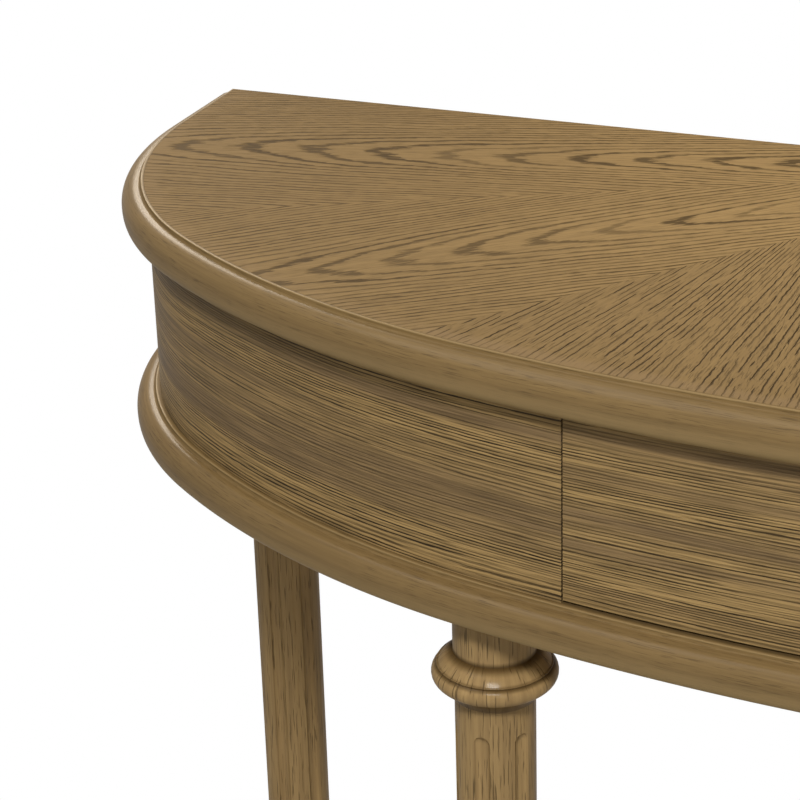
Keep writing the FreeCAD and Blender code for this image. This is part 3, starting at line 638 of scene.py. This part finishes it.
# Softboxes: width and height, place, aim and tint
SOFTBOXES = {
    "overhead": ((1.5, 1.2), (-1.0, -0.3, 2.5), (-0.4, 0.0, 0.7), WHITE),
    "back": ((0.7, 0.7), (-1.7, 1.75, 1.75), (-0.45, -0.1, 0.78), (1.0, 0.9, 0.76)),
    "front": ((0.8, 0.3), (0.176, -1.734, 2.362), (-0.15, -0.2, 0.68), WHITE),
    "low": ((0.4, 0.15), (0.84, -1.95, 1.42), (-0.25, -0.15, 0.55), WHITE),
}


def white_to_the_eye(tree):
    """1 where a camera, glossy or transmission ray looks, 0 for the rays that carry light."""
    path = place(tree, "ShaderNodeLightPath", {}).outputs
    seen = calc(tree, "MAXIMUM", path["Is Camera Ray"], path["Is Glossy Ray"])
    return calc(tree, "MAXIMUM", seen, path["Is Transmission Ray"])


def softbox(name, energy, size, spot, aim, tint):
    lamp = bpy.data.lights.new(name, "AREA")
    lamp.color = tint
    lamp.shape = "RECTANGLE"
    lamp.size, lamp.size_y = size
    lamp.energy = energy
    box = bpy.data.objects.new(name, lamp)
    box.location = spot
    box.rotation_mode = "QUATERNION"
    box.rotation_quaternion = (Vector(aim) - Vector(spot)).to_track_quat("-Z", "Y")
    bpy.context.scene.collection.objects.link(box)


# Operators

class DEMILUNE_OT_top(bpy.types.Operator):
    """Gives each leaf of the sunburst top its own oak figure"""

    bl_idname = "demilune.top"
    bl_label = "Veneered top"

    def execute(self, context):
        oak = context.scene.demilune_oak
        corner, shoulder, front = plan_arcs(context.scene.demilune_plan)
        for name, bisector, seed, arc in (("outer", 12.8, 2.0, corner), ("inner", 38.95, 12.0, shoulder)):
            turn = math.radians(bisector)
            mirrored = (arc[0] * FLIP, *arc[1:])
            left = leaf_finish(f"oak_{name}_leaf_left", turn, seed, oak, arc)
            right = leaf_finish(f"oak_{name}_leaf_right", math.pi - turn, seed, oak, mirrored)
            dress(left, f"veneer_{name}_left")
            dress(right, f"veneer_{name}_right")
        dress(fan_finish("oak_middle_leaf", 31.0, oak, front), "veneer_middle")
        return {"FINISHED"}


class DEMILUNE_OT_mouldings(bpy.types.Operator):
    """Bends the bull-nose mouldings round the top and the base"""

    bl_idname = "demilune.mouldings"
    bl_label = "Bent mouldings"

    def execute(self, context):
        scene = context.scene
        sizes = scene.demilune_moulding
        stations = plan_stations(scene.demilune_plan)
        pieces = (("top_moulding", sizes.lip - sizes.top_border, TOP_LOW, TOP_HIGH, 40.0),
                  ("base_moulding", -sizes.base_ring, BASE_LOW, BASE_HIGH, 50.0))
        for node, inner, low, high, seed in pieces:
            section = moulding_section(sizes, inner, high.z - low.z)
            finish = moulding_finish(f"oak_{node}", seed, scene.demilune_oak)
            bend_moulding(f"bent_{node}", node, stations, section, high.z, finish)
        return {"FINISHED"}


class DEMILUNE_OT_apron(bpy.types.Operator):
    """Veneers the bent apron and the drawer front"""

    bl_idname = "demilune.apron"
    bl_label = "Apron and drawer front"

    def execute(self, context):
        for number, node in enumerate(("apron_left", "drawer_front", "apron_right")):
            dress(apron_finish(f"oak_{node}", 60.0 + 7.0 * number, context.scene.demilune_oak), node)
        return {"FINISHED"}


class DEMILUNE_OT_legs(bpy.types.Operator):
    """Finishes the turned and fluted legs"""

    bl_idname = "demilune.legs"
    bl_label = "Turned legs"

    def execute(self, context):
        for number, corner in enumerate(("front_left", "front_right", "back_left", "back_right")):
            node = f"leg_{corner}"
            dress(leg_finish(f"oak_{node}", node, 80.0 + 9.0 * number, context.scene.demilune_oak), node)
        return {"FINISHED"}


class DEMILUNE_OT_carcase(bpy.types.Operator):
    """Finishes the boards inside and behind the case, and the drawer box"""

    bl_idname = "demilune.carcase"
    bl_label = "Carcase and drawer box"

    def execute(self, context):
        oak = context.scene.demilune_oak
        stained = (oak.apron_light, oak.moulding_dark, oak.pore)
        soft = ((0.5, 0.36, 0.2), (0.34, 0.22, 0.1), (0.2, 0.12, 0.05))
        beech = ((0.56, 0.42, 0.25), (0.42, 0.29, 0.15), (0.25, 0.16, 0.08))
        pads = [name for name in NODES if name.startswith("leg_pad")]
        dress(plain_wood("stained_board", *stained, (0.15, 0.004, 0.004), 90.0, 0.6),
              "top_core", "bottom_panel", "back_panel", *pads)
        dress(plain_wood("plain_softwood", *soft, (0.004, 0.1, 0.004), 92.0, 0.7),
              "divider_left", "divider_right", "corner_blocks", "top_cleats")
        dress(plain_wood("drawer_side_ply", *beech, (0.08, 0.08, 0.003), 94.0, 0.5),
              "drawer_box_front", "drawer_back", "drawer_side_left", "drawer_side_right")
        dress(plain_wood("drawer_bottom_ply", *beech, (0.1, 0.004, 0.004), 96.0, 0.5), "drawer_bottom")
        return {"FINISHED"}


class DEMILUNE_OT_fittings(bpy.types.Operator):
    """Finishes the runners, screws, bolts, latch and glides"""

    bl_idname = "demilune.fittings"
    bl_label = "Runners and fixings"

    def execute(self, context):
        steel = [name for name in NODES if name.startswith("runner_") or name.endswith(("_screws", "_cages"))]
        dress(zinc_finish(), *steel, "leg_bolts", "leg_nuts", "leg_washers", "strike_plate")
        dress(nylon_finish(), "foot_glides", "latch_body", "latch_plunger")
        return {"FINISHED"}


class DEMILUNE_OT_stage(bpy.types.Operator):
    """Sets up the floor, the light and the camera"""

    bl_idname = "demilune.stage"
    bl_label = "Studio"

    def execute(self, context):
        studio = context.scene.demilune_studio
        context.scene.view_settings.view_transform = "Standard"
        self.lay_floor(context.scene)
        self.light(context.scene, studio)
        self.set_camera(context.scene, studio)
        return {"FINISHED"}

    def lay_floor(self, scene):
        mesh = bpy.data.meshes.new("studio_floor")
        reach = FLOOR_REACH
        corners = [(-reach, -reach, 0.0), (reach, -reach, 0.0), (reach, reach, 0.0), (-reach, reach, 0.0)]
        mesh.from_pydata(corners, [], [(0, 1, 2, 3)])
        material, tree = new_material("pale_floor")
        paint = place(tree, "ShaderNodeBsdfDiffuse", {"Color": solid(FLOOR_PAINT)}).outputs[0]
        glow = place(tree, "ShaderNodeEmission", {"Color": solid(WHITE), "Strength": 1.0}).outputs[0]
        away = vector_calc(tree, "LENGTH", vector_calc(tree, "MULTIPLY", position(tree), SHADOW_SCALE))
        eye = calc(tree, "MULTIPLY", white_to_the_eye(tree), remap(tree, away, *SHADOW_FADE, 0.7, 1.0))
        mixed = place(tree, "ShaderNodeMixShader", {0: eye, 1: paint, 2: glow}).outputs[0]
        place(tree, "ShaderNodeOutputMaterial", {"Surface": mixed})
        mesh.materials.append(material)
        floor = bpy.data.objects.new("studio_floor", mesh)
        scene.collection.objects.link(floor)

    def light(self, scene, studio):
        world = bpy.data.worlds.new("studio")
        world.use_nodes = True
        tree = world.node_tree
        tree.nodes.clear()
        strength = remap(tree, white_to_the_eye(tree), 0.0, 1.0, studio.ambient, 1.0)
        sky = place(tree, "ShaderNodeBackground", {"Color": solid(WHITE), "Strength": strength}).outputs[0]
        place(tree, "ShaderNodeOutputWorld", {"Surface": sky})
        scene.world = world
        for name, (size, spot, aim, tint) in SOFTBOXES.items():
            softbox(f"{name}_softbox", getattr(studio, name), size, spot, aim, tint)

    def set_camera(self, scene, studio):
        azimuth, elevation, roll = studio.azimuth, studio.elevation, studio.roll
        back = Vector((math.sin(azimuth) * math.cos(elevation), -math.cos(azimuth) * math.cos(elevation),
                       math.sin(elevation)))
        right = Vector((math.cos(azimuth), math.sin(azimuth), 0.0))
        up = back.cross(right)
        right, up = right * math.cos(roll) + up * math.sin(roll), up * math.cos(roll) - right * math.sin(roll)
        lens = bpy.data.cameras.new("studio_camera")
        lens.sensor_width = SENSOR_WIDTH
        lens.lens = studio.lens
        lens.clip_start = 0.05
        lens.clip_end = 50.0
        camera = bpy.data.objects.new("studio_camera", lens)
        turn = Matrix((right, up, back)).transposed().to_4x4()
        camera.matrix_world = Matrix.Translation(studio.camera_place) @ turn
        scene.collection.objects.link(camera)
        scene.camera = camera


class DEMILUNE_PT_panel(bpy.types.Panel):
    """Lists the operators and their settings"""

    bl_idname = "DEMILUNE_PT_panel"
    bl_label = "Demilune Table"
    bl_space_type = "VIEW_3D"
    bl_region_type = "UI"
    bl_category = "Demilune"

    def draw(self, context):
        for operator in OPERATORS:
            self.layout.operator(operator.bl_idname)
        for group, kind in GROUPS.items():
            column = self.layout.column(heading=kind.__doc__)
            for key in kind.__annotations__:
                column.prop(getattr(context.scene, group), key)


GROUPS = {"demilune_plan": PlanSizes, "demilune_moulding": MouldingSizes, "demilune_oak": OakFinish,
          "demilune_studio": StudioSettings}
OPERATORS = (DEMILUNE_OT_top, DEMILUNE_OT_mouldings, DEMILUNE_OT_apron, DEMILUNE_OT_legs, DEMILUNE_OT_carcase,
             DEMILUNE_OT_fittings, DEMILUNE_OT_stage)


def register():
    for item in (*GROUPS.values(), *OPERATORS, DEMILUNE_PT_panel):
        bpy.utils.register_class(item)
    for group, kind in GROUPS.items():
        setattr(bpy.types.Scene, group, PointerProperty(type=kind))


def unregister():
    for group in GROUPS:
        delattr(bpy.types.Scene, group)
    for item in reversed((*GROUPS.values(), *OPERATORS, DEMILUNE_PT_panel)):
        bpy.utils.unregister_class(item)


def main():
    register()
    bpy.ops.demilune.top()
    bpy.ops.demilune.mouldings()
    bpy.ops.demilune.apron()
    bpy.ops.demilune.legs()
    bpy.ops.demilune.carcase()
    bpy.ops.demilune.fittings()
    bpy.ops.demilune.stage()
    bpy.context.view_layer.update()


if __name__ == "__main__":
    main()
